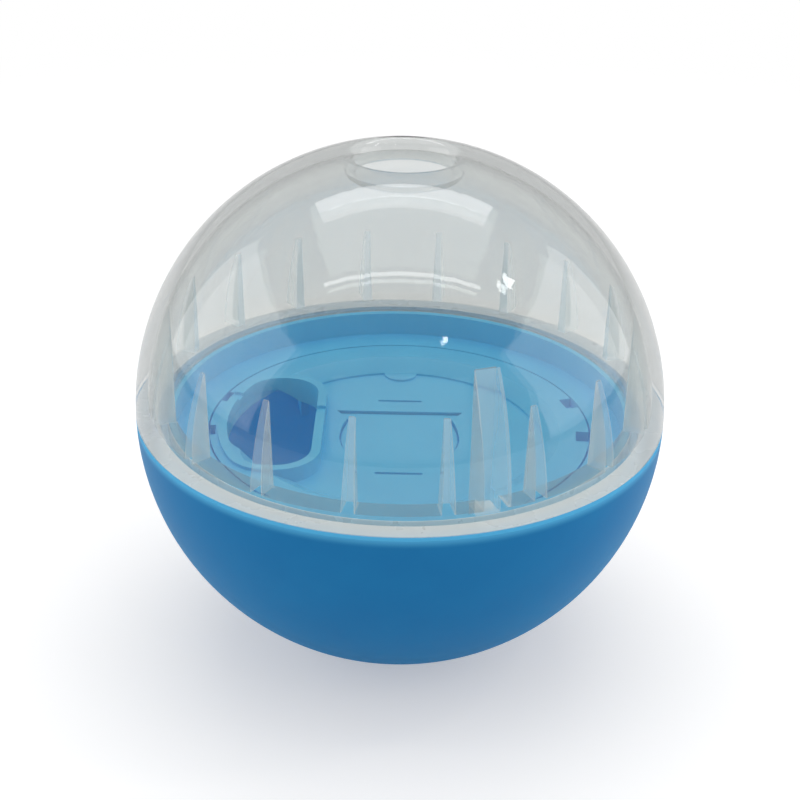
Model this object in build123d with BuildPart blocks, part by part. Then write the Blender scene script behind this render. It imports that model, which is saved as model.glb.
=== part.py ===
"""Slow feeder treat ball: a clear dome with an outlet turns and lifts off a bowl that holds the food.

A divider lies between them. A dial on the divider lets more or less food through a window.
The ball stands on +Z with the middle of its foot at the origin, and its front looks along -Y.
"""

import os
from math import atan2, cos, isclose, radians, sin, sqrt, tan

from build123d import *

# Driving dimensions, in millimetres and degrees

# Ball
ball_diameter = 80.0
foot_diameter = 16.0
bowl_wall = 2.0
dome_wall = 2.0
seam_chamfer = 0.35

# Clearances
radial_gap = 0.3
axial_gap = 0.3
pivot_gap = 0.05

# Outlet at the top of the dome
outlet_diameter = 14.0
outlet_lip_wall = 1.4
outlet_lip_depth = 1.2
outlet_round = 1.7
outlet_lip_round = 0.5

# Ledge and fins inside the dome's base
ledge_height = 2.1
ledge_setback = 0.4
fin_count = 18
fin_first_angle = -80.0
fin_root_thickness = 1.7
fin_tip_thickness = 0.8
fin_tip_depth = 0.25
fin_setback = 0.15

# Key rib, which turns the divider with the dome
key_angle = -70.0
key_width = 3.2
key_height = 20.0
key_engagement = 0.8
key_slot_web = 0.6

# Bayonet between the dome's neck and the bowl's mouth
bayonet_count = 3
bayonet_first_angle = 20.0
neck_wall = 1.2
catch_depth = 1.0
catch_drop = 0.8
catch_height = 1.4
catch_span = 44.0
lug_height = 1.6
lug_span = 24.0
lug_lead = 5.0
stop_span = 4.0

# Divider
divider_wall = 1.0
divider_floor = 1.5
ring_depth = 4.2
ring_width = 4.7
support_count = 6
support_overlap = 1.8
support_thickness = 1.6

# Dial on the divider
dial_plate_thickness = 1.6
dial_rim_width = 4.5
dial_slope_width = 2.9
dish_depth = 2.0
dish_step = 0.35
nick_width = 3.2
nick_depth = 2.0
nick_depth_at_window = 0.9
nick_front_angle = -6.0
nick_back_angle = 17.0
pointer_radius = 2.7
mark_length = 7.2
mark_width = 0.6
mark_depth = 0.35
mark_distance = 2.3

# Feed window through the dial, and the slot under it through the divider
window_width = 13.5
window_end = 9.2
window_corner = 5.2
window_margin = 1.2
window_angle = 180.0
slot_width = 13.6
slot_span = 48.0
slot_angle = 158.0
collar_wall = 1.4
collar_rise = 0.5
notch_angle = -17.0
notch_radius = 1.1

# Grip in the middle of the dial, which snaps into the divider
grip_margin = 2.7
grip_back = 7.9
grip_front = 9.6
grip_ear = 0.5
grip_neck = 1.0
grip_ear_depth = 2.3
grip_sink = 0.4
grip_thickness = 0.65
stem_diameter = 6.0
barb_reach = 1.0
barb_length = 2.4
barb_slot = 1.2

# Derived radii, from the outside inwards
ball_r = ball_diameter / 2
foot_r = foot_diameter / 2
bowl_inner_r = ball_r - bowl_wall
dome_inner_r = ball_r - dome_wall
mouth_r = bowl_inner_r
lug_r = mouth_r - radial_gap
catch_r = mouth_r - catch_depth
neck_r = catch_r - radial_gap
neck_inner_r = neck_r - neck_wall
divider_r = neck_inner_r - radial_gap
divider_inner_r = divider_r - divider_wall
ledge_r = divider_inner_r + ledge_setback
fin_r = ledge_r + fin_setback
support_r = divider_r - support_overlap
recess_r = divider_inner_r - ring_width
dial_r = recess_r - radial_gap
pan_r = recess_r + divider_floor
key_r = pan_r + key_slot_web + radial_gap
key_tongue_r = divider_inner_r - radial_gap
slope_r = dial_r - dial_rim_width
dish_r = slope_r - dial_slope_width
window_outer_r = dial_r - window_margin - collar_wall
window_inner_r = window_outer_r - window_width
window_mid_r = (window_outer_r + window_inner_r) / 2
window_half_length = sqrt(window_outer_r**2 - (window_inner_r + window_end) ** 2)
collar_inner_mid_r = window_inner_r - collar_wall / 2
collar_outer_mid_r = window_outer_r + collar_wall / 2
grip_half_width = window_inner_r - collar_wall - grip_margin
mark_r = grip_front + mark_distance
stem_r = stem_diameter / 2
pivot_r = stem_r + pivot_gap
outlet_r = outlet_diameter / 2
lip_r = outlet_r + outlet_lip_wall

# Derived heights, from the foot upwards
seam_z = sqrt(ball_r**2 - foot_r**2)
bowl_floor_z = seam_z - sqrt(bowl_inner_r**2 - foot_r**2)
catch_top_z = seam_z - catch_drop
catch_bottom_z = catch_top_z - catch_height
lug_top_z = catch_bottom_z - axial_gap
neck_bottom_z = lug_top_z - lug_height
mouth_bottom_z = neck_bottom_z - axial_gap
divider_top_z = seam_z - axial_gap
ring_z = seam_z - ring_depth
shelf_z = ring_z - divider_floor
dial_seat_z = ring_z - dial_plate_thickness
dish_z = ring_z - dish_depth
dial_bottom_z = dish_z - dial_plate_thickness
pan_z = dial_bottom_z - axial_gap
pan_bottom_z = pan_z - divider_floor
collar_top_z = ring_z + collar_rise
grip_top_z = dish_z - grip_sink
grip_floor_z = grip_top_z - grip_thickness
barb_top_z = pan_bottom_z - axial_gap
barb_bottom_z = barb_top_z - barb_length
key_bottom_z = ring_z - key_engagement
key_top_z = seam_z + key_height
ledge_z = seam_z + ledge_height
fin_tip_z = seam_z + sqrt(dome_inner_r**2 - (fin_r + fin_tip_depth) ** 2)
lip_bottom_z = seam_z + sqrt(dome_inner_r**2 - lip_r**2) - outlet_lip_depth
ball_top_z = seam_z + ball_r


def radius_at(sphere_r, z):
    """Radius of the circle that height z cuts from a sphere about the ball's middle."""
    return sqrt(sphere_r**2 - (z - seam_z) ** 2)


def height_at(sphere_r, radius, side):
    """Height of the circle of this radius on such a sphere, above (1) or below (-1) the seam."""
    return seam_z + side * sqrt(sphere_r**2 - radius**2)


def sphere_arc(start, end):
    """Arc about the ball's middle between two points of a radius-and-height sketch."""
    sphere_r = sqrt(start[0] ** 2 + (start[1] - seam_z) ** 2)
    start_angle = atan2(start[1] - seam_z, start[0])
    end_angle = atan2(end[1] - seam_z, end[0])
    middle = (start_angle + end_angle) / 2
    on_arc = (sphere_r * cos(middle), seam_z + sphere_r * sin(middle))
    return ThreePointArc(start, on_arc, end)


def radial_plane(angle):
    """Upright plane through the axis, with its x outwards at this angle and its y up."""
    direction = (cos(radians(angle)), sin(radians(angle)), 0)
    return Plane(origin=(0, 0, 0), x_dir=direction, z_dir=(direction[1], -direction[0], 0))


def facing_plane(angle, radius):
    """Upright plane square to the radius at this angle, looking outwards, with its y up."""
    outwards = (cos(radians(angle)), sin(radians(angle)), 0)
    origin = (radius * outwards[0], radius * outwards[1], 0)
    return Plane(origin=origin, x_dir=(-outwards[1], outwards[0], 0), z_dir=outwards)


def angles_round(count, first):
    """Evenly spaced angles round the axis."""
    return [first + 360 * index / count for index in range(count)]


def polar(radius, angle):
    """Point of a plan at this radius and angle."""
    return (radius * cos(radians(angle)), radius * sin(radians(angle)))


def window_plane(z):
    """Level plane at this height, with its x through the middle of the dial's window."""
    return Plane(origin=(0, 0, z), x_dir=(*polar(1, window_angle), 0), z_dir=(0, 0, 1))


def window_outline(sketch, grow):
    """Dial's window, with an arc outside, a straight side inside and round corners, widened by grow."""
    Circle(window_outer_r + grow)
    with Locations((window_inner_r - grow, 0)):
        Rectangle(
            2 * window_width,
            2 * (window_half_length + grow),
            align=(Align.MIN, Align.CENTER),
            mode=Mode.INTERSECT,
        )
    fillet(sketch.vertices(), window_corner + grow)


def feed_slot():
    """Divider's slot, bent about the axis."""
    with BuildLine():
        middle_line = CenterArc((0, 0), window_mid_r, slot_angle - slot_span / 2, slot_span)
    SlotArc(middle_line, slot_width)


def grip_outline():
    """Cup-shaped grip with a straight back edge and an ear at each of its ends."""
    side = (grip_half_width, grip_half_width - grip_front)
    neck = (grip_half_width - grip_neck, grip_back - grip_ear_depth)
    with BuildLine() as outline:
        Line((0, grip_back), (grip_half_width + grip_ear, grip_back))
        Line((grip_half_width + grip_ear, grip_back), neck)
        TangentArc(side, neck, tangent=(0, 1))
        RadiusArc(side, (0, -grip_front), grip_half_width)
        mirror(about=Plane.YZ)
    make_face(outline.edges())


# Lower bowl: half a ball with a flat foot, bayonet catches in its mouth and gussets for the divider
rim_outer = (ball_r - seam_chamfer, seam_z)
rim_edge_z = seam_z - seam_chamfer

with BuildPart() as lower_bowl:
    with BuildSketch(Plane.XZ):
        with BuildLine():
            Polyline((0, bowl_floor_z), (0, 0), (foot_r, 0))
            sphere_arc((foot_r, 0), (radius_at(ball_r, rim_edge_z), rim_edge_z))
            Line((radius_at(ball_r, rim_edge_z), rim_edge_z), rim_outer)
            Polyline(
                rim_outer,
                (mouth_r, seam_z),
                (mouth_r, mouth_bottom_z),
                (radius_at(bowl_inner_r, mouth_bottom_z), mouth_bottom_z),
            )
            sphere_arc((radius_at(bowl_inner_r, mouth_bottom_z), mouth_bottom_z), (foot_r, bowl_floor_z))
            Line((foot_r, bowl_floor_z), (0, bowl_floor_z))
        make_face()
    revolve(axis=Axis.Z)
    wall_middle_r = ball_r - bowl_wall / 2
    for angle in angles_round(support_count, 0):
        with BuildSketch(radial_plane(angle)):
            with BuildLine():
                gusset_foot = (support_r, height_at(wall_middle_r, support_r, -1))
                gusset_back = (radius_at(wall_middle_r, shelf_z), shelf_z)
                Polyline(gusset_foot, (support_r, shelf_z), gusset_back)
                sphere_arc(gusset_back, gusset_foot)
            make_face()
        extrude(amount=support_thickness / 2, both=True)
    for angle in angles_round(bayonet_count, bayonet_first_angle):
        catch_start = angle - lug_lead - catch_span
        with BuildSketch(radial_plane(catch_start)):
            with Locations(((catch_r + mouth_r + bowl_wall / 2) / 2, (catch_top_z + catch_bottom_z) / 2)):
                Rectangle(catch_depth + bowl_wall / 2, catch_height)
        revolve(axis=Axis.Z, revolution_arc=catch_span)
        with BuildSketch(radial_plane(catch_start)):
            with Locations(((catch_r + mouth_r + bowl_wall / 2) / 2, (catch_top_z + neck_bottom_z) / 2)):
                Rectangle(catch_depth + bowl_wall / 2, catch_top_z - neck_bottom_z)
        revolve(axis=Axis.Z, revolution_arc=stop_span)
lower_bowl.part.label = "lower_bowl"

# Fins and key rib, upright inside the dome's base, with their backs in the middle of its wall
fin_foot_z = ledge_z - ledge_height / 2

with BuildPart() as fin_ring:
    for angle in angles_round(fin_count, fin_first_angle):
        with BuildSketch(facing_plane(angle, fin_r)):
            with BuildLine():
                Polyline(
                    (-fin_root_thickness / 2, fin_foot_z),
                    (fin_root_thickness / 2, fin_foot_z),
                    (fin_tip_thickness / 2, fin_tip_z),
                    (-fin_tip_thickness / 2, fin_tip_z),
                    close=True,
                )
            make_face()
        extrude(amount=ball_r - fin_r)
    with BuildSketch(facing_plane(key_angle, key_r)):
        with Locations((0, (seam_z + key_top_z) / 2)):
            Rectangle(key_width, key_height)
    extrude(amount=ball_r - key_r)
    with BuildSketch(facing_plane(key_angle, key_r)):
        with Locations((0, (seam_z + key_bottom_z) / 2)):
            Rectangle(key_width, seam_z - key_bottom_z)
    extrude(amount=key_tongue_r - key_r)
    with Locations((0, 0, seam_z)):
        Sphere(ball_r - dome_wall / 2, mode=Mode.INTERSECT)

# Clear dome: half a ball with a rolled outlet at its top, a ledge and fins inside, and a neck below
with BuildPart() as clear_dome:
    with BuildSketch(Plane.XZ) as dome_profile:
        with BuildLine():
            outer_start_z = seam_z + seam_chamfer
            outlet_edge = (outlet_r, height_at(ball_r, outlet_r, 1))
            lip_top = (lip_r, height_at(dome_inner_r, lip_r, 1))
            ledge_back = (radius_at(dome_inner_r, ledge_z), ledge_z)
            Line(rim_outer, (radius_at(ball_r, outer_start_z), outer_start_z))
            sphere_arc((radius_at(ball_r, outer_start_z), outer_start_z), outlet_edge)
            Polyline(outlet_edge, (outlet_r, lip_bottom_z), (lip_r, lip_bottom_z), lip_top)
            sphere_arc(lip_top, ledge_back)
            Polyline(
                ledge_back,
                (ledge_r, ledge_z),
                (ledge_r, seam_z),
                (neck_inner_r, seam_z),
                (neck_inner_r, neck_bottom_z),
                (neck_r, neck_bottom_z),
                (neck_r, seam_z),
                rim_outer,
            )
        make_face()
        fillet(dome_profile.vertices().sort_by(Axis.Y)[-1], outlet_round)
        lip_corners = dome_profile.vertices().filter_by(lambda corner: isclose(corner.Y, lip_bottom_z))
        fillet(lip_corners, outlet_lip_round)
    revolve(axis=Axis.Z)
    add(fin_ring.part)
    for angle in angles_round(bayonet_count, bayonet_first_angle):
        with BuildSketch(radial_plane(angle)):
            with Locations(((neck_r - neck_wall / 2 + lug_r) / 2, (lug_top_z + neck_bottom_z) / 2)):
                Rectangle(lug_r - neck_r + neck_wall / 2, lug_height)
        revolve(axis=Axis.Z, revolution_arc=lug_span)
clear_dome.part.label = "clear_dome"

# Divider: a shallow cup inside the dome's neck, with a ring, a seat and a pan for the dial
seat_slope_r = slope_r + radial_gap
pan_slope_r = dish_r + radial_gap

with BuildPart() as divider_disc:
    with BuildSketch(Plane.XZ):
        with BuildLine():
            Polyline(
                (0, pan_z),
                (pan_slope_r, pan_z),
                (seat_slope_r, dial_seat_z),
                (recess_r, dial_seat_z),
                (recess_r, ring_z),
                (divider_inner_r, ring_z),
                (divider_inner_r, divider_top_z),
                (divider_r, divider_top_z),
                (divider_r, shelf_z),
                (pan_r, shelf_z),
                (pan_r, dial_seat_z - divider_floor),
                (seat_slope_r + divider_floor / 2, dial_seat_z - divider_floor),
                (pan_slope_r + divider_floor / 2, pan_bottom_z),
                (0, pan_bottom_z),
                close=True,
            )
        make_face()
    revolve(axis=Axis.Z)
    with BuildSketch(Plane.XY.offset(pan_bottom_z)):
        feed_slot()
        Circle(pivot_r)
    extrude(amount=divider_top_z - pan_bottom_z, mode=Mode.SUBTRACT)
    with BuildSketch(facing_plane(key_angle, key_r - radial_gap)):
        with Locations((0, (ring_z + shelf_z) / 2)):
            Rectangle(key_width + 2 * radial_gap, 2 * divider_floor)
    extrude(amount=divider_inner_r - key_r + radial_gap, mode=Mode.SUBTRACT)
divider_disc.part.label = "divider_disc"

# Dial: a dished plate that turns on the divider, with a collar round its window
dial_underside = [
    (0, dial_bottom_z),
    (dish_r, dial_bottom_z),
    (slope_r, dial_seat_z),
    (dial_r, dial_seat_z),
]

with BuildPart() as window_collar:
    with BuildSketch(window_plane(dial_bottom_z)) as collar_outside:
        window_outline(collar_outside, collar_wall)
    extrude(amount=collar_top_z - dial_bottom_z)
    with BuildSketch(Plane.XZ):
        with BuildLine():
            Polyline(*dial_underside, (dial_r, collar_top_z), (0, collar_top_z), close=True)
        make_face()
    revolve(axis=Axis.Z, mode=Mode.INTERSECT)
    with BuildSketch(window_plane(ring_z)):
        with Locations(polar(collar_outer_mid_r, notch_angle)):
            Circle(notch_radius)
        with Locations((collar_inner_mid_r, collar_inner_mid_r * tan(radians(notch_angle)))):
            Circle(notch_radius)
    extrude(amount=collar_rise, mode=Mode.SUBTRACT)

with BuildPart() as dial_plate:
    with BuildSketch(Plane.XZ):
        with BuildLine():
            Polyline(
                *dial_underside,
                (dial_r, ring_z),
                (slope_r, ring_z),
                (dish_r, dish_z + dish_step),
                (dish_r, dish_z),
                (0, dish_z),
                close=True,
            )
        make_face()
    revolve(axis=Axis.Z)
    with BuildSketch(Plane.XY.offset(dish_z)):
        with Locations((0, dish_r), (0, -dish_r)):
            Circle(pointer_radius)
    extrude(amount=dish_step)
    add(window_collar.part)
    with BuildSketch(window_plane(dial_bottom_z)) as window:
        window_outline(window, 0)
    extrude(amount=collar_top_z - dial_bottom_z, mode=Mode.SUBTRACT)
    with BuildSketch(Plane.XY.offset(dial_seat_z)):
        for angle in (nick_front_angle, nick_back_angle):
            with PolarLocations(dial_r, 1, start_angle=angle):
                Rectangle(2 * nick_depth, nick_width)
            with PolarLocations(dial_r, 1, start_angle=180 - angle):
                Rectangle(2 * nick_depth_at_window, nick_width)
    extrude(amount=dial_plate_thickness, mode=Mode.SUBTRACT)
    with BuildSketch(Plane.XY.offset(dish_z)):
        with Locations((0, mark_r), (0, -mark_r)):
            SlotOverall(mark_length, mark_width)
    extrude(amount=-mark_depth, mode=Mode.SUBTRACT)
    with BuildSketch(Plane.XY.offset(dish_z)):
        grip_outline()
        offset(amount=radial_gap, kind=Kind.INTERSECTION)
    extrude(amount=grip_floor_z - dish_z, mode=Mode.SUBTRACT)
    with BuildSketch(Plane.XY.offset(dial_bottom_z)):
        Circle(pivot_r)
    extrude(amount=dial_plate_thickness, mode=Mode.SUBTRACT)
dial_plate.part.label = "dial_plate"

# Grip: a cup-shaped finger rest sunk in the dial's dish, on a split stem that snaps through the divider
with BuildPart() as dial_grip:
    with BuildSketch(Plane.XY.offset(grip_floor_z)):
        grip_outline()
    extrude(amount=grip_top_z - grip_floor_z)
    with BuildSketch(Plane.XZ):
        with BuildLine():
            Polyline(
                (0, grip_floor_z),
                (stem_r, grip_floor_z),
                (stem_r, barb_top_z),
                (stem_r + barb_reach, barb_top_z),
                (stem_r - barb_reach, barb_bottom_z),
                (0, barb_bottom_z),
                close=True,
            )
        make_face()
    revolve(axis=Axis.Z)
    with BuildSketch(Plane.XZ):
        with Locations((0, (pan_z + barb_bottom_z) / 2)):
            Rectangle(barb_slot, pan_z - barb_bottom_z)
    extrude(amount=stem_diameter, both=True, mode=Mode.SUBTRACT)
dial_grip.part.label = "dial_grip"

# One file for each piece
os.makedirs("parts", exist_ok=True)
for piece in (lower_bowl, clear_dome, divider_disc, dial_plate, dial_grip):
    export_step(piece.part, f"parts/{piece.part.label}.step")
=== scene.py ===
"""Slow feeder treat ball: a clear dome with fins on a blue bowl, over a blue divider with a dial.

The bowl and the dome are surfaces worked out from their profiles. The divider, the dial and its grip
are the frame's own pieces, with their edges rounded. All sizes are in metres.
"""

from math import atan2, cos, pi, radians, sin, sqrt

import bpy
import numpy as np
from mathutils import Matrix, Vector


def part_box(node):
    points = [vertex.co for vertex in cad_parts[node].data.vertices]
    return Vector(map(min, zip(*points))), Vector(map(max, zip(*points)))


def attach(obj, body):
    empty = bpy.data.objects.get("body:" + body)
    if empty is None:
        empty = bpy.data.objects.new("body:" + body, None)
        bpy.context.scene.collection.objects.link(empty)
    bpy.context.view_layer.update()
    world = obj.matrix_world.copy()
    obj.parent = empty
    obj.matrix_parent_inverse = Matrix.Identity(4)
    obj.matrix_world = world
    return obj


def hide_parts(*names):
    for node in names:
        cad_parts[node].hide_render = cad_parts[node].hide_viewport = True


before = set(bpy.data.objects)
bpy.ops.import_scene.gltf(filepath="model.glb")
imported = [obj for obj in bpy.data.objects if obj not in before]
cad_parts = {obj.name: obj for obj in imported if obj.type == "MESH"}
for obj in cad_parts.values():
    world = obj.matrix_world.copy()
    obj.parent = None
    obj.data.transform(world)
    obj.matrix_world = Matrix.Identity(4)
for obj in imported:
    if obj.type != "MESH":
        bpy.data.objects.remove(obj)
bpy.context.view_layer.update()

MM = 0.001

# Sizes that the frame gives
dome_low, dome_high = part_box("clear_dome")
ball_r = dome_high.x
seam_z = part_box("lower_bowl")[1].z
ball_middle = Vector((0, 0, seam_z))
neck_bottom_z = dome_low.z
divider_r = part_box("divider_disc")[1].x

# Bowl and dome
wall = 2.0 * MM
seam_chamfer = 0.35 * MM
seam_gap = 0.04 * MM
edge_round = 0.12 * MM
foot_r = 8.0 * MM
foot_round = 4 * edge_round
foot_lead = 0.01  # angle in radians
radial_gap = 0.3 * MM
axial_gap = 0.3 * MM
inner_r = ball_r - wall

# Bayonet in the mouth
bayonet_count = 3
bayonet_first_angle = 20.0
neck_wall = 1.2 * MM
catch_depth = 1.0 * MM
catch_drop = 0.8 * MM
catch_height = 1.4 * MM
catch_span = 44.0
lug_span = 24.0
lug_lead = 5.0
stop_span = 4.0
neck_r = inner_r - catch_depth - radial_gap
neck_inner_r = neck_r - neck_wall

# Gussets that carry the divider
gusset_count = 6
gusset_overlap = 1.8 * MM
gusset_thickness = 1.6 * MM
shelf_drop = 5.7 * MM

# Ledge, fins and key rib inside the dome's base
ledge_height = 2.1 * MM
ledge_inset = 0.6 * MM
fin_count = 18
fin_first_angle = -80.0
fin_root_thickness = 1.7 * MM
fin_tip_thickness = 0.8 * MM
fin_setback = 0.15 * MM
fin_tip_depth = 0.25 * MM
key_angle = -70.0
key_width = 3.2 * MM
key_height = 20.0 * MM
key_bottom_drop = 5.0 * MM
key_r = 31.9 * MM
key_tongue_r = 33.9 * MM
ledge_r = divider_r - ledge_inset
fin_r = ledge_r + fin_setback
sunk = 0.2 * MM
apart = 0.02 * MM

# Outlet at the top
outlet_r = 7.0 * MM
outlet_lip_wall = 1.4 * MM
outlet_lip_depth = 1.2 * MM
outlet_round = 1.7 * MM
outlet_lip_round = 0.5 * MM
lip_corner = 0.4 * MM
lip_r = outlet_r + outlet_lip_wall

# Fineness of the surfaces: points in a turn, along arcs and along edges, and how edges ease in
turns = 192
bowl_outside_points = 96
bowl_inside_points = 80
dome_outside_points = 60
dome_shoulder_points = 30
dome_key_points = 8
dome_fin_points = 22
outlet_points = 14
small_arc_points = 7
gusset_points = 20
block_points = 24
tongue_rows = 12
tongue_points = 40
wide_gap = 15.0
wide_gap_points = 9
narrow_gap_points = 5
edge_steps = 4
edge_lead = 1.15
edge_share = 0.4
edge_ease = 0.25
sharp_angle = radians(32)
merge_size = 1e-8


def arc(centre, radius, start, end, count):
    """Arc in a plane: the centre plus the radius times (cos, sin) of evenly spaced angles."""
    angles = np.linspace(start, end, count)
    return np.stack([centre[0] + radius * np.cos(angles), centre[1] + radius * np.sin(angles)], axis=1)


def ball_arc(radius, start, end, count):
    """Arc about the ball's middle, in a radius-and-height profile, between two angles above the seam."""
    return arc((0.0, seam_z), radius, start, end, count)


def angle_at(radius, z):
    """Angle above the seam of the point at height z on a sphere about the ball's middle."""
    return np.arcsin((z - seam_z) / radius)


def rounded(corners, radius, closed=False):
    """Profile with rounded corners.

    Each corner becomes an arc that touches both of its sides: its ends lie radius / tan(half the corner's
    angle) from the corner, or edge_share of the shorter side if that is less, and the arc is drawn as the
    curve that blends the two ends through the corner. A point at edge_lead times that distance keeps the
    flat stretch flat when the surface is shaded.
    """
    corners = np.asarray(corners, float)
    before = np.roll(corners, 1, axis=0) - corners
    after = np.roll(corners, -1, axis=0) - corners
    before_len = np.linalg.norm(before, axis=1, keepdims=True)
    after_len = np.linalg.norm(after, axis=1, keepdims=True)
    before = before / before_len
    after = after / after_len
    half = np.arccos(np.clip((before * after).sum(1, keepdims=True), -1, 1)) / 2
    reach = np.minimum(radius / np.tan(half), edge_share * np.minimum(before_len, after_len))
    t = np.linspace(0, 1, edge_steps + 1)[None, :, None]
    start = (corners + before * reach)[:, None]
    end = (corners + after * reach)[:, None]
    bend = (1 - t) ** 2 * start + 2 * t * (1 - t) * corners[:, None] + t**2 * end
    lead_in = (corners + before * reach * edge_lead)[:, None]
    lead_out = (corners + after * reach * edge_lead)[:, None]
    points = np.concatenate([lead_in, bend, lead_out], axis=1)
    if closed:
        return points.reshape(-1, 2)
    inner = points[1:-1].reshape(-1, 2)
    return np.concatenate([corners[:1], inner, corners[-1:]])


def surface(name, grids, materials, body, node, finish=None):
    """One piece made of grids of points, each of shape (rows, columns, 3).

    A grid's columns close on themselves and so do its rows. Points that coincide are merged: a face that
    this leaves with three corners stays as a triangle, and one with no area is dropped. Each grid is turned
    so that its volume is positive. Finish gives each face of the grids the number of its material.
    """
    points, quads, first = [], [], 0
    for grid in grids:
        rows, columns = grid.shape[:2]
        index = np.arange(rows * columns).reshape(rows, columns)
        right = np.roll(index, -1, axis=1)
        below = np.roll(index, -1, axis=0)
        across = np.roll(right, -1, axis=0)
        faces = np.stack([index, right, across, below], axis=-1).reshape(-1, 4)
        flat = grid.reshape(-1, 3)
        a, b, c, d = (flat[faces[:, k]] for k in range(4))
        volume = (np.cross(b - a, c - a) * a).sum() + (np.cross(c - a, d - a) * a).sum()
        points.append(flat)
        quads.append((faces if volume > 0 else faces[:, ::-1]) + first)
        first += len(flat)
    points = np.concatenate(points)
    quads = np.concatenate(quads)
    keys = np.round(points / merge_size).astype(np.int64)
    _, kept, merged = np.unique(keys, axis=0, return_index=True, return_inverse=True)
    quads = merged.reshape(-1)[quads]
    repeats = quads == np.roll(quads, 1, axis=1)
    whole = repeats.sum(1) == 0
    pinched = repeats.sum(1) == 1
    thirds = quads[pinched][~repeats[pinched]].reshape(-1, 3)
    finish = np.zeros(len(quads), np.int32) if finish is None else finish.reshape(-1).astype(np.int32)
    mesh = bpy.data.meshes.new(name)
    mesh.from_pydata(points[kept].tolist(), [], quads[whole].tolist() + thirds.tolist())
    mesh.polygons.foreach_set("material_index", np.concatenate([finish[whole], finish[pinched]]))
    mesh.polygons.foreach_set("use_smooth", np.ones(len(mesh.polygons), bool))
    mesh.set_sharp_from_angle(angle=sharp_angle)
    mesh.validate()
    for material in materials:
        mesh.materials.append(material)
    made = bpy.data.objects.new(name, mesh)
    bpy.context.scene.collection.objects.link(made)
    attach(made, body)
    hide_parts(node)


def revolved(profile):
    """Profile carried round the axis: (radius cos a, radius sin a, height) for each angle a."""
    angles = np.linspace(0, 2 * pi, turns, endpoint=False)[None, :]
    radius, height = profile[:, 0:1], profile[:, 1:2]
    grid = np.stack([radius * np.cos(angles), radius * np.sin(angles), height + 0 * angles], axis=-1)
    return np.swapaxes(grid, 0, 1)


def capped(rows):
    """Closes a carried outline at both ends with a row at the middle of its first and its last outline."""
    first = np.repeat(rows[:1].mean(axis=1, keepdims=True), rows.shape[1], axis=1)
    last = np.repeat(rows[-1:].mean(axis=1, keepdims=True), rows.shape[1], axis=1)
    return np.concatenate([first, rows, last])


def swept_block(r0, r1, z0, z1, start, span):
    """Block between two radii and two heights, carried round the axis through span degrees.

    Its outline draws in over the last edge_round at both ends, so that its end edges are round too.
    """
    outline = rounded([(r0, z0), (r1, z0), (r1, z1), (r0, z1)], edge_round, closed=True)
    middle = outline.mean(axis=0)
    ease = edge_round / r1
    end = radians(span)
    ease_in = np.array([0, ease / 3])
    along = np.linspace(ease, end - ease, block_points)
    angles = radians(start) + np.concatenate([ease_in, along, end - ease_in[::-1]])
    inset = np.ones(len(angles))
    inset[[0, -1]] = 1 - edge_round / (r1 - r0)
    inset[[1, -2]] = 1 - edge_ease * edge_round / (r1 - r0)
    plan = middle + (outline - middle)[None] * inset[:, None, None]
    radius, height = plan[..., 0], plan[..., 1]
    turn = angles[:, None]
    return capped(np.stack([radius * np.cos(turn), radius * np.sin(turn), height], axis=-1))


def turned(grid, angle):
    """The grid turned about the axis by an angle in degrees."""
    c, s = cos(radians(angle)), sin(radians(angle))
    return grid @ np.array([[c, s, 0], [-s, c, 0], [0, 0, 1]])


def angles_round(count, first):
    """Evenly spaced angles round the axis, in degrees."""
    return [first + 360 * k / count for k in range(count)]


def plate(outline, thickness):
    """Upright plate through the axis: a radius-and-height outline, carried across its thickness.

    The outline draws in towards its middle at both faces, which rounds the plate's edges.
    """
    middle = outline.mean(axis=0)
    span = np.linalg.norm(outline - middle, axis=1).mean()
    from_face = np.array([0, edge_ease, 1]) * edge_round
    across = np.concatenate([from_face - thickness / 2, thickness / 2 - from_face[::-1]])
    inset = 1 - edge_round / span * np.array([1, edge_ease, 0, 0, edge_ease, 1])
    plan = middle + (outline - middle)[None] * inset[:, None, None]
    side = np.broadcast_to(across[:, None], plan.shape[:2])
    return capped(np.stack([plan[..., 0], side, plan[..., 1]], axis=-1))


def rib(heights, inner, outer, half_width):
    """Upright rib that stands out along +X: at each height a rounded oblong from inner to outer radius.

    The oblong is a superellipse of the fifth power, which keeps its faces flat and its edges round.
    """
    power = 2 / 5
    t = np.linspace(0, 2 * pi, tongue_points, endpoint=False)[None, :]
    c, s = np.cos(t), np.sin(t)
    x = np.sign(c) * np.abs(c) ** power
    y = np.sign(s) * np.abs(s) ** power
    middle = (inner + outer) / 2
    reach = (outer - inner) / 2
    height = heights[:, None]
    level = 0 * height
    return capped(np.stack([middle + reach * x + level, half_width * y + level, height + 0 * t], axis=-1))


# Materials


def linear(colour):
    """Linear RGBA of an sRGB hex colour."""
    channels = np.array([int(colour[k : k + 2], 16) for k in (1, 3, 5)]) / 255
    low, high = channels / 12.92, ((channels + 0.055) / 1.055) ** 2.4
    return (*np.where(channels <= 0.04045, low, high).tolist(), 1.0)


def add(tree, kind, sockets=None, **settings):
    """Adds a node with its settings. A socket takes a value, or a link where it is given an output.

    A Mix node's colours are its sockets 6 and 7, and its numbers are 2 and 3.
    """
    made = tree.nodes.new("ShaderNode" + kind)
    for name, value in settings.items():
        setattr(made, name, value)
    for name, value in (sockets or {}).items():
        if isinstance(value, bpy.types.NodeSocket):
            tree.links.new(value, made.inputs[name])
        else:
            made.inputs[name].default_value = value
    return made


def new_material(name):
    """Empty node material: its tree, its Object coordinates and its output."""
    made = bpy.data.materials.new(name)
    made.use_nodes = True
    made.node_tree.nodes.clear()
    where = add(made.node_tree, "TexCoord").outputs["Object"]
    output = add(made.node_tree, "OutputMaterial")
    return made, made.node_tree, where, output


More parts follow.
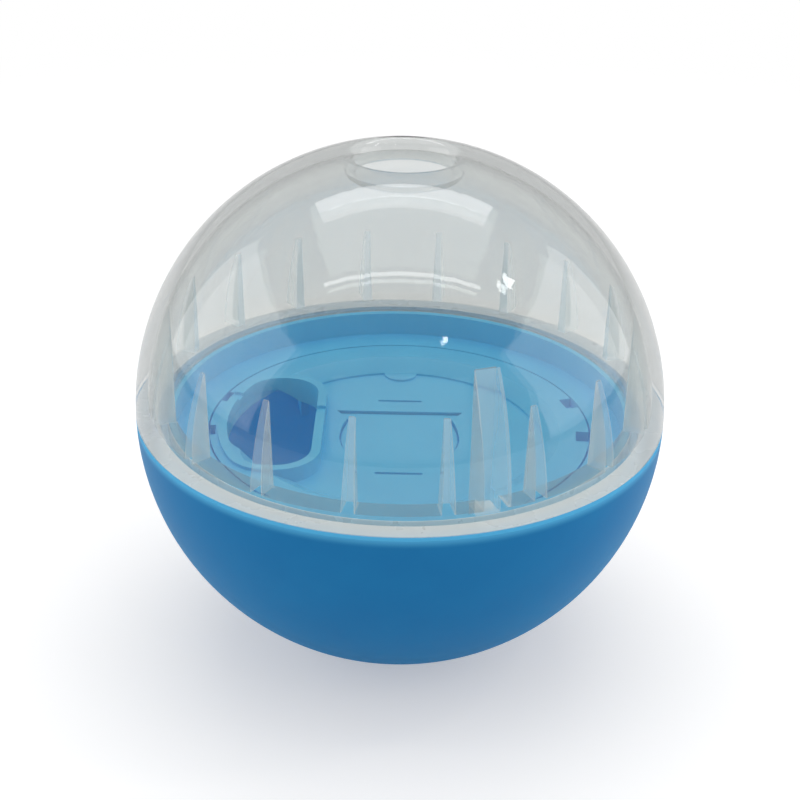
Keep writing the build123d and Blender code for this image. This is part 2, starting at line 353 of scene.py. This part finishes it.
def on_outside(tree, where):
    """1 on the outer half of the ball's wall, and so on its outer face, and 0 further in."""
    distance = add(tree, "VectorMath", {0: where, 1: ball_middle}, operation="DISTANCE")
    return add(
        tree, "Math", {0: distance.outputs["Value"], 1: ball_r - wall / 2}, operation="GREATER_THAN"
    ).outputs[0]


def either_ray(tree, first, second):
    """1 for rays of either kind and 0 for others."""
    path = add(tree, "LightPath")
    kinds = {0: path.outputs[first], 1: path.outputs[second]}
    return add(tree, "Math", kinds, operation="MAXIMUM").outputs[0]


def light_through(tree, output, shader, tint, passing):
    """Lets the rays that light other pieces pass through a plastic wall, in the wall's tint."""
    through = add(tree, "BsdfTransparent", {"Color": tint})
    mix = add(tree, "MixShader", {0: passing, 1: shader.outputs["BSDF"], 2: through.outputs["BSDF"]})
    tree.links.new(mix.outputs["Shader"], output.inputs["Surface"])


def moulded_blue_polypropylene(name, light, dark, roughness, gloss_level, glow, passed, thin_wall_and_painted_light):
    """Polypropylene from a polished mould: an even blue with a soft gloss, that lets some light through.

    A thin wall of it scatters light, which shows as a lighter blue glow where it is seen at a slant. With a
    thin wall, the light that comes through it is painted into the colour: a painted lighter blue on its inner
    face and a painted glow at its upper edge; little light leaves through the outer face. Its grain is drawn
    coarser than the real one, to show.
    """
    made, tree, where, output = new_material(name)
    flow_size = 9.0 * MM
    grain_size = 0.45 * MM
    dark_flow = 0.3
    light_flow = 0.7
    smoother = 0.04
    rougher = 0.05
    # Heights of the painted glow at the bowl's upper edge: a lighter blue that stands in for light coming out
    # of the wall's end
    lit_edge_start = seam_z - 1.6 * MM
    lit_edge_end = seam_z - 0.1 * MM
    flow = add(tree, "TexNoise", {"Vector": where, "Scale": 1 / flow_size, "Detail": 3.0, "Roughness": 0.55})
    grain = add(tree, "TexNoise", {"Vector": where, "Scale": 1 / grain_size, "Detail": 2.0})
    colour = add(tree, "ValToRGB", {"Fac": flow.outputs["Fac"]})
    colour.color_ramp.elements[0].position = dark_flow
    colour.color_ramp.elements[0].color = linear(dark)
    colour.color_ramp.elements[1].position = light_flow
    colour.color_ramp.elements[1].color = linear(light)
    shade = colour.outputs["Color"]
    tint = linear(passed)
    if thin_wall_and_painted_light:
        passing = either_ray(tree, "Is Shadow Ray", "Is Diffuse Ray")
        outside = on_outside(tree, where)
        height = add(tree, "SeparateXYZ", {0: where})
        painted_rim_glow = add(
            tree,
            "MapRange",
            {"Value": height.outputs["Z"], "From Min": lit_edge_start, "From Max": lit_edge_end},
            interpolation_type="SMOOTHSTEP",
        )
        # Painted light: the inner faces take a lighter blue, which stands in for light that comes through the
        # thin wall
        shade = add(tree, "Mix", {0: outside, 6: linear("#36adea"), 7: shade}, data_type="RGBA").outputs[2]
        # Painted glow: the upper edge just under the seam is painted a lighter blue
        shade = add(
            tree, "Mix", {0: painted_rim_glow.outputs["Result"], 6: shade, 7: linear("#4fa9d8")}, data_type="RGBA"
        ).outputs[2]
        behind = add(tree, "NewGeometry").outputs["Backfacing"]
        outward = add(tree, "Math", {0: outside, 1: behind}, operation="SUBTRACT", use_clamp=True)
        tint = add(
            tree, "Mix", {0: outward.outputs[0], 6: tint, 7: linear("#4a6f8c")}, data_type="RGBA"
        ).outputs[2]
    else:
        passing = add(tree, "LightPath").outputs["Is Shadow Ray"]
    gloss = add(
        tree,
        "MapRange",
        {"Value": flow.outputs["Fac"], "To Min": roughness - smoother, "To Max": roughness + rougher},
    )
    bump = add(tree, "Bump", {"Strength": 0.06, "Distance": 0.05 * MM, "Height": grain.outputs["Fac"]})
    shader = add(
        tree,
        "BsdfPrincipled",
        {
            "Base Color": shade,
            "Roughness": gloss.outputs["Result"],
            "IOR": 1.49,
            "Specular IOR Level": gloss_level,
            "Sheen Weight": glow,
            "Sheen Roughness": 0.45,
            "Sheen Tint": linear("#2f9fd6"),
            "Normal": bump.outputs["Normal"],
        },
    )
    light_through(tree, output, shader, tint, passing)
    return made


def clear_polypropylene(name, light, dark, clearness, rough_low, rough_high, slanted=None):
    """Clear polypropylene from a polished mould: see-through with a faint haze, a ripple and a grey cast.

    Its index is drawn lower than the real 1.49, because light that the haze spreads shows no sharp bending;
    the coat gives the real one's gloss. A wall seen at a slant is darker, because light goes a longer way
    in it.
    """
    made, tree, where, output = new_material(name)
    ripple_size = 14.0 * MM
    smudge_size = 6.0 * MM
    slant_start = 0.56
    slant_end = 0.72
    ripple = add(tree, "TexNoise", {"Vector": where, "Scale": 1 / ripple_size, "Detail": 1.0})
    smudge = add(tree, "TexNoise", {"Vector": where, "Scale": 1 / smudge_size, "Detail": 4.0})
    gloss = add(tree, "MapRange", {"Value": smudge.outputs["Fac"], "To Min": rough_low, "To Max": rough_high})
    bump = add(tree, "Bump", {"Strength": 0.08, "Distance": 0.4 * MM, "Height": ripple.outputs["Fac"]})
    shade = add(
        tree, "Mix", {0: smudge.outputs["Fac"], 6: linear(light), 7: linear(dark)}, data_type="RGBA"
    ).outputs[2]
    if slanted is not None:
        facing = add(tree, "LayerWeight", {"Blend": 0.5}).outputs["Facing"]
        outside = on_outside(tree, where)
        slant = add(
            tree,
            "MapRange",
            {"Value": facing, "From Min": slant_start, "From Max": slant_end, "To Max": outside},
            interpolation_type="SMOOTHSTEP",
        )
        shade = add(
            tree, "Mix", {0: slant.outputs["Result"], 6: shade, 7: linear(slanted)}, data_type="RGBA"
        ).outputs[2]
    shader = add(
        tree,
        "BsdfPrincipled",
        {
            "Base Color": shade,
            "Roughness": gloss.outputs["Result"],
            "IOR": 1.006,
            "Transmission Weight": clearness,
            "Coat Weight": 1.0,
            "Coat Roughness": 0.04,
            "Coat IOR": 1.49,
            "Normal": bump.outputs["Normal"],
        },
    )
    passing = either_ray(tree, "Is Shadow Ray", "Is Diffuse Ray")
    light_through(tree, output, shader, linear("#fdfefe"), passing)
    return made


bowl_blue = moulded_blue_polypropylene(
    "moulded polypropylene bowl blue",
    light="#1a77b1",
    dark="#1872ad",
    roughness=0.4,
    gloss_level=0.1,
    glow=0.4,
    passed="#cbecf7",
    thin_wall_and_painted_light=True,
)
insert_blue = moulded_blue_polypropylene(
    "moulded polypropylene insert blue",
    light="#56b9e2",
    dark="#52b3de",
    roughness=0.34,
    gloss_level=0.5,
    glow=0.0,
    passed="#cfe9f6",
    thin_wall_and_painted_light=False,
)
clear = clear_polypropylene(
    "moulded clear polypropylene wall",
    light="#dfe1e0",
    dark="#dbdddc",
    clearness=0.994,
    rough_low=0.02,
    rough_high=0.06,
    slanted="#b3b6b5",
)
hazy = clear_polypropylene(
    "moulded clear polypropylene ribs",
    light="#edf1ef",
    dark="#e7ebe9",
    clearness=0.7,
    rough_low=0.15,
    rough_high=0.3,
)
cloudy = clear_polypropylene(
    "moulded clear polypropylene base",
    light="#e2e5e5",
    dark="#dcdfde",
    clearness=0.2,
    rough_low=0.2,
    rough_high=0.35,
)

# Bowl: sphere outside, flat foot, rounded seam edge, mouth, and sphere inside
mouth_bottom_z = neck_bottom_z - axial_gap
floor_z = seam_z - sqrt(inner_r**2 - foot_r**2)
rim_z = seam_z - seam_gap


def bowl_profile():
    """Radius and height round the bowl's wall, from the middle of its foot to the middle of its floor."""
    chamfer_angle = angle_at(ball_r, seam_z - seam_chamfer)
    outside = ball_arc(ball_r, angle_at(ball_r, 0.0) + foot_lead, chamfer_angle, bowl_outside_points)
    foot = rounded([(0, 0), (foot_r, 0), outside[0]], foot_round)[:-1]
    mouth_corner = (sqrt(inner_r**2 - (mouth_bottom_z - seam_z) ** 2), mouth_bottom_z)
    rim = rounded(
        [
            outside[-1],
            (ball_r - seam_chamfer, rim_z),
            (inner_r, rim_z),
            (inner_r, mouth_bottom_z),
            mouth_corner,
        ],
        edge_round,
    )[1:]
    inside = ball_arc(
        inner_r, angle_at(inner_r, mouth_bottom_z), angle_at(inner_r, floor_z), bowl_inside_points
    )
    floor = rounded([inside[-2], (foot_r, floor_z), (0, floor_z)], foot_round)[1:]
    return np.concatenate([foot, outside, rim, inside[1:-2], floor])


surface("bowl_wall", [revolved(bowl_profile())], [bowl_blue], "bowl", "lower_bowl")

# Gussets under the divider, and catches and stops in the mouth
shelf_z = seam_z - shelf_drop
gusset_r = divider_r - gusset_overlap
wall_middle_r = ball_r - wall / 2


def gusset_outline():
    """Gusset's outline: its inner edge, its shelf, and an arc in the middle of the bowl's wall."""
    low = -np.arccos(gusset_r / wall_middle_r)
    back = ball_arc(wall_middle_r, angle_at(wall_middle_r, shelf_z), low, gusset_points)
    return np.concatenate([rounded([back[-1], (gusset_r, shelf_z), back[0]], edge_round)[1:-1], back])


gusset = plate(gusset_outline(), gusset_thickness)
gussets = [turned(gusset, angle) for angle in angles_round(gusset_count, 0)]
surface("bowl_gussets", gussets, [bowl_blue], "bowl", "lower_bowl")

catch_r = inner_r - catch_depth
catch_top_z = seam_z - catch_drop
catch_bottom_z = catch_top_z - catch_height
catches = []
for angle in angles_round(bayonet_count, bayonet_first_angle):
    start = angle - lug_lead - catch_span
    outer = inner_r + sunk
    catches.append(swept_block(catch_r, outer, catch_bottom_z, catch_top_z, start, catch_span))
    catches.append(swept_block(catch_r, outer, neck_bottom_z, catch_bottom_z + sunk, start, stop_span))
surface("bowl_catches", catches, [bowl_blue], "bowl", "lower_bowl")

# Dome: one clear moulding with a rolled outlet, a ledge, fins and a key rib inside, and a neck below
ledge_z = seam_z + ledge_height
fin_foot_z = ledge_z - ledge_height / 2
fin_tip_z = seam_z + sqrt(inner_r**2 - (fin_r + fin_tip_depth) ** 2)
key_top_z = seam_z + key_height


def dome_rows():
    """Radius and height of the moulding's rows, and how far fins and key stand out of the wall in each row.

    The rows run up the outside, over the outlet, down the inside, and round the ledge and the neck back to
    the outside. The outlet's upper edge is an arc that touches the outer sphere and the outlet's wall, so its
    middle lies outlet_round from both; the corner behind the lip touches the inner sphere in the same way.
    """
    round_r = outlet_r + outlet_round
    round_z = seam_z + sqrt((ball_r - outlet_round) ** 2 - round_r**2)
    round_angle = atan2(round_z - seam_z, round_r)
    lip_bottom_z = seam_z + sqrt(inner_r**2 - lip_r**2) - outlet_lip_depth
    low = outlet_lip_round
    corner_r = lip_r + lip_corner
    corner_z = seam_z + sqrt((inner_r - lip_corner) ** 2 - corner_r**2)
    corner_angle = atan2(corner_z - seam_z, corner_r)
    outside = np.concatenate(
        [
            ball_arc(ball_r, angle_at(ball_r, seam_z + seam_chamfer), round_angle, dome_outside_points),
            arc((round_r, round_z), outlet_round, round_angle, pi, outlet_points)[1:],
            arc((outlet_r + low, lip_bottom_z + low), low, pi, 1.5 * pi, small_arc_points),
            arc((lip_r - low, lip_bottom_z + low), low, 1.5 * pi, 2 * pi, small_arc_points),
            arc((corner_r, corner_z), lip_corner, pi, corner_angle, small_arc_points)[:-1],
        ]
    )
    key_top, fin_top = angle_at(inner_r, key_top_z), angle_at(inner_r, fin_tip_z)
    below_key = angle_at(inner_r, key_top_z - edge_round)
    below_fin = angle_at(inner_r, fin_tip_z - edge_round)
    above_ledge = angle_at(inner_r, ledge_z + 3 * edge_round)
    stretches = [
        np.linspace(corner_angle, key_top, dome_shoulder_points),
        np.array([key_top]),
        np.linspace(below_key, fin_top, dome_key_points),
        np.array([fin_top]),
        np.linspace(below_fin, above_ledge, dome_fin_points),
    ]
    lengths = [len(stretch) for stretch in stretches]
    angles = np.concatenate(stretches)
    inside = np.stack([inner_r * np.cos(angles), seam_z + inner_r * np.sin(angles)], axis=1)
    base = rounded(
        [
            inside[-1],
            (sqrt(inner_r**2 - ledge_height**2), ledge_z),
            (ledge_r, ledge_z),
            (ledge_r, seam_z),
            (neck_inner_r, seam_z),
            (neck_inner_r, neck_bottom_z),
            (neck_r, neck_bottom_z),
            (neck_r, seam_z),
            (ball_r - seam_chamfer, seam_z),
            outside[0],
        ],
        edge_round,
    )[1:-1]
    radius, height = np.concatenate([outside, inside, base]).T
    on_ledge = (base[:, 1] > ledge_z - apart) & (base[:, 0] > fin_r)
    above_neck = (base[:, 1] > seam_z - apart) & (base[:, 0] < (ledge_r + neck_inner_r) / 2)
    flush = np.zeros(len(outside))
    fin_out = np.concatenate([flush, np.repeat([0, 0, 0, 1, 1], lengths), on_ledge])
    key_out = np.concatenate([flush, np.repeat([0, 1, 1, 1, 1], lengths), above_neck | on_ledge])
    return radius, height, fin_out, key_out


def dome_columns():
    """Columns of the moulding: angle, place across a rib, step to the rib's face, and whether it is the key.

    A rib's columns stand at places from -1 to 1 across its thickness and a little beyond; the step is 0 on
    the wall and 1 on the rib's face, with two small steps at its root and its edge that round them. Between
    two ribs the columns are evenly spaced on the wall, fewer where the key rib stands close.
    """
    half_across = np.array([0.45, 0.88, 0.97, 1.0, 1.02, 1.12, 1.3])
    half_step = np.array([1.0, 1.0, 0.985, 0.95, 0.05, 0.012, 0.0])
    rib_across = np.concatenate([-half_across[::-1], [0], half_across])
    rib_step = np.concatenate([half_step[::-1], [1], half_step])
    fins = [(angle, False) for angle in angles_round(fin_count, fin_first_angle)]
    ribs = sorted(fins + [(key_angle, True)])
    following = [angle for angle, _ in ribs[1:]] + [ribs[0][0] + 360]
    angles, across, step, is_key = [], [], [], []
    for (angle, key), after in zip(ribs, following):
        gap_points = wide_gap_points if after - angle > wide_gap else narrow_gap_points
        gap = np.linspace(angle, after, gap_points)[2:-2]
        angles.append(np.concatenate([np.full(len(rib_across), angle), gap]))
        across.append(np.concatenate([rib_across, 0 * gap]))
        step.append(np.concatenate([rib_step, 0 * gap]))
        is_key.append(np.concatenate([np.full(len(rib_across), key), np.zeros(len(gap), bool)]))
    return np.radians(np.concatenate(angles)), *(np.concatenate(part) for part in (across, step, is_key))


def dome_grid():
    """The clear moulding in one grid, and the finish of its faces: 0 on walls, 1 on ribs, 2 on neck and seam.

    At each row a column lies on the wall's circle, less the step to the rib's flat face where a rib stands
    out: along the rib's own direction by wall + step * (face - wall), and across it by its place times half
    the rib's thickness, which shrinks with the circle above the ribs. A fin's thickness falls evenly from
    root to tip.
    """
    radius, height, fin_out, key_out = (row[:, None] for row in dome_rows())
    angle, across, step, is_key = dome_columns()
    climb = np.clip((height - fin_foot_z) / (fin_tip_z - fin_foot_z), 0, 1)
    fin_half = (fin_root_thickness + (fin_tip_thickness - fin_root_thickness) * climb) / 2
    side = across * np.where(is_key, key_width / 2, fin_half) * np.minimum(1, radius / fin_r)
    wall_reach = np.sqrt(radius**2 - side**2)
    face = np.where(is_key, key_r, fin_r)
    out = step * np.where(is_key, key_out, fin_out)
    reach = wall_reach + out * (face - wall_reach)
    c, s = np.cos(angle), np.sin(angle)
    grid = np.stack([reach * c - side * s, reach * s + side * c, height + 0 * reach], axis=-1)
    on_rib = out > 0
    on_base = (height < seam_z - apart) | (height < seam_z + apart) & (radius > neck_r - apart)
    rib_face = on_rib & np.roll(on_rib, -1, axis=0) | on_rib & np.roll(on_rib, -1, axis=1)
    base_face = on_base | np.roll(on_base, -1, axis=0)
    return grid, np.where(base_face, 2, np.where(rib_face, 1, 0))


dome_points, dome_finish = dome_grid()
surface(
    "dome_moulding",
    [dome_points],
    [clear, hazy, cloudy],
    "dome",
    "clear_dome",
    finish=dome_finish,
)

# Dome's lugs on the neck and the key rib's tongue below the ledge
lug_top_z = catch_bottom_z - axial_gap
lugs = [
    swept_block(neck_r + apart, inner_r - radial_gap, neck_bottom_z, lug_top_z, angle, lug_span)
    for angle in angles_round(bayonet_count, bayonet_first_angle)
]
tongue_heights = np.linspace(seam_z - key_bottom_drop, seam_z - apart, tongue_rows)
tongue = rib(tongue_heights, key_r, key_tongue_r, key_width / 2)
surface("dome_lugs", lugs, [cloudy], "dome", "clear_dome")
surface("dome_key_tongue", [turned(tongue, key_angle)], [hazy], "dome", "clear_dome")

# Divider, dial and grip: the frame's own pieces with rounded edges
insert_round = 0.22 * MM
weld_size = 0.001 * MM
for name in ("divider_disc", "dial_plate", "dial_grip"):
    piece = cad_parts[name]
    piece.material_slots[0].link = "OBJECT"
    piece.material_slots[0].material = insert_blue
    weld = piece.modifiers.new("weld", "WELD")
    weld.merge_threshold = weld_size
    bevel = piece.modifiers.new("edges", "BEVEL")
    bevel.width = insert_round
    bevel.segments = 3
    bevel.limit_method = "ANGLE"
    bevel.angle_limit = radians(25)
    bevel.harden_normals = True

# Floor, lights and camera
floor_half = 3.0
shadow_reach = 0.10
white_reach = 0.40
floor_lift = 0.32


def pale_floor():
    """Matt pale floor: it takes the ball's shadow, and the eye sees it lifted to white, all white far off."""
    made, tree, where, output = new_material("matt pale floor")
    seen = either_ray(tree, "Is Camera Ray", "Is Transmission Ray")
    lift = add(tree, "Math", {0: seen, 1: floor_lift}, operation="MULTIPLY")
    matt = add(tree, "BsdfDiffuse", {"Color": linear("#e8e8e8")})
    glow = add(tree, "Emission", {"Strength": lift.outputs[0]})
    both = add(tree, "AddShader", {0: matt.outputs[0], 1: glow.outputs[0]})
    distance = add(tree, "VectorMath", {0: where}, operation="LENGTH")
    far = add(
        tree,
        "MapRange",
        {
            "Value": distance.outputs["Value"],
            "From Min": shadow_reach,
            "From Max": white_reach,
            "To Max": seen,
        },
        interpolation_type="SMOOTHSTEP",
    )
    white = add(tree, "Emission", {"Strength": 1.0})
    mix = add(tree, "MixShader", {0: far.outputs["Result"], 1: both.outputs[0], 2: white.outputs[0]})
    tree.links.new(mix.outputs[0], output.inputs["Surface"])
    return made


floor_corners = [(x * floor_half, y * floor_half, 0) for x, y in ((-1, -1), (1, -1), (1, 1), (-1, 1))]
floor_mesh = bpy.data.meshes.new("floor")
floor_mesh.from_pydata(floor_corners, [], [(0, 1, 2, 3)])
floor_mesh.materials.append(pale_floor())
floor = bpy.data.objects.new("floor", floor_mesh)
bpy.context.scene.collection.objects.link(floor)


def softbox(name, place, width, depth, radiance):
    """Rectangular lamp at a place, facing the ball's middle, with the same brightness all over."""
    lamp = bpy.data.lights.new(name, "AREA")
    lamp.shape = "RECTANGLE"
    lamp.size = width
    lamp.size_y = depth
    lamp.energy = radiance * pi * width * depth
    made = bpy.data.objects.new(name, lamp)
    bpy.context.scene.collection.objects.link(made)
    place = Vector(place)
    turn = (ball_middle - place).to_track_quat("-Z", "Y").to_matrix().to_4x4()
    made.matrix_world = Matrix.Translation(place) @ turn


softbox("overhead_panel", place=(0, 0.14, 0.65), width=0.66, depth=0.50, radiance=0.74)
softbox("back_strip", place=(0, 0.36, 0.62), width=0.62, depth=0.10, radiance=2.8)
softbox("front_strip", place=(0, -0.13, 0.64), width=0.66, depth=0.02, radiance=5.0)
softbox("right_spot", place=(0.50, -0.02, 0.69), width=0.07, depth=0.07, radiance=12.0)
softbox("front_spot", place=(0.24, -0.47, 0.64), width=0.04, depth=0.03, radiance=16.0)
softbox("front_fill", place=(0, -0.9, 0.35), width=1.0, depth=0.6, radiance=0.4)
softbox("left_panel", place=(-0.75, 0, 0.32), width=0.9, depth=0.6, radiance=1.1)
softbox("right_panel", place=(0.75, 0, 0.32), width=0.9, depth=0.6, radiance=1.2)

light_below = 0.55
light_above = 0.75
room_in_front = 0.1
room_behind = 0.75


def studio_world():
    """Soft light, a little stronger from above.

    Gloss shows a pale room behind and a darker one in front, and past the floor the background is pale grey.
    """
    made = bpy.data.worlds.new("studio")
    made.use_nodes = True
    tree = made.node_tree
    tree.nodes.clear()
    towards = add(tree, "SeparateXYZ", {0: add(tree, "TexCoord").outputs["Generated"]})
    light = add(
        tree, "MapRange", {"Value": towards.outputs["Z"], "To Min": light_below, "To Max": light_above}
    )
    room = add(
        tree,
        "MapRange",
        {
            "Value": towards.outputs["Y"],
            "From Min": -0.9,
            "From Max": 0.8,
            "To Min": room_in_front,
            "To Max": room_behind,
        },
        interpolation_type="SMOOTHSTEP",
    )
    glossy = add(tree, "LightPath").outputs["Is Glossy Ray"]
    level = add(tree, "Mix", {0: glossy, 2: light.outputs["Result"], 3: room.outputs["Result"]})
    seen = either_ray(tree, "Is Camera Ray", "Is Transmission Ray")
    level = add(tree, "Mix", {0: seen, 2: level.outputs[0], 3: 1.0})
    sky = add(tree, "Background", {"Strength": level.outputs[0]})
    output = add(tree, "OutputWorld")
    tree.links.new(sky.outputs[0], output.inputs["Surface"])
    return made


bpy.context.scene.world = studio_world()

camera_distance = 222.7 * MM
camera_elevation = radians(26.75)
camera_roll = radians(1.12)
camera_lens = 65.2
back = Vector((0, -cos(camera_elevation), sin(camera_elevation)))
camera_data = bpy.data.cameras.new("camera")
camera_data.lens = camera_lens
camera_data.clip_start = 0.01
camera = bpy.data.objects.new("camera", camera_data)
bpy.context.scene.collection.objects.link(camera)
look = (-back).to_track_quat("-Z", "Y").to_matrix().to_4x4()
place = Matrix.Translation(ball_middle + back * camera_distance)
camera.matrix_world = place @ look @ Matrix.Rotation(camera_roll, 4, "Z")
bpy.context.scene.camera = camera
bpy.context.scene.view_settings.view_transform = "Standard"
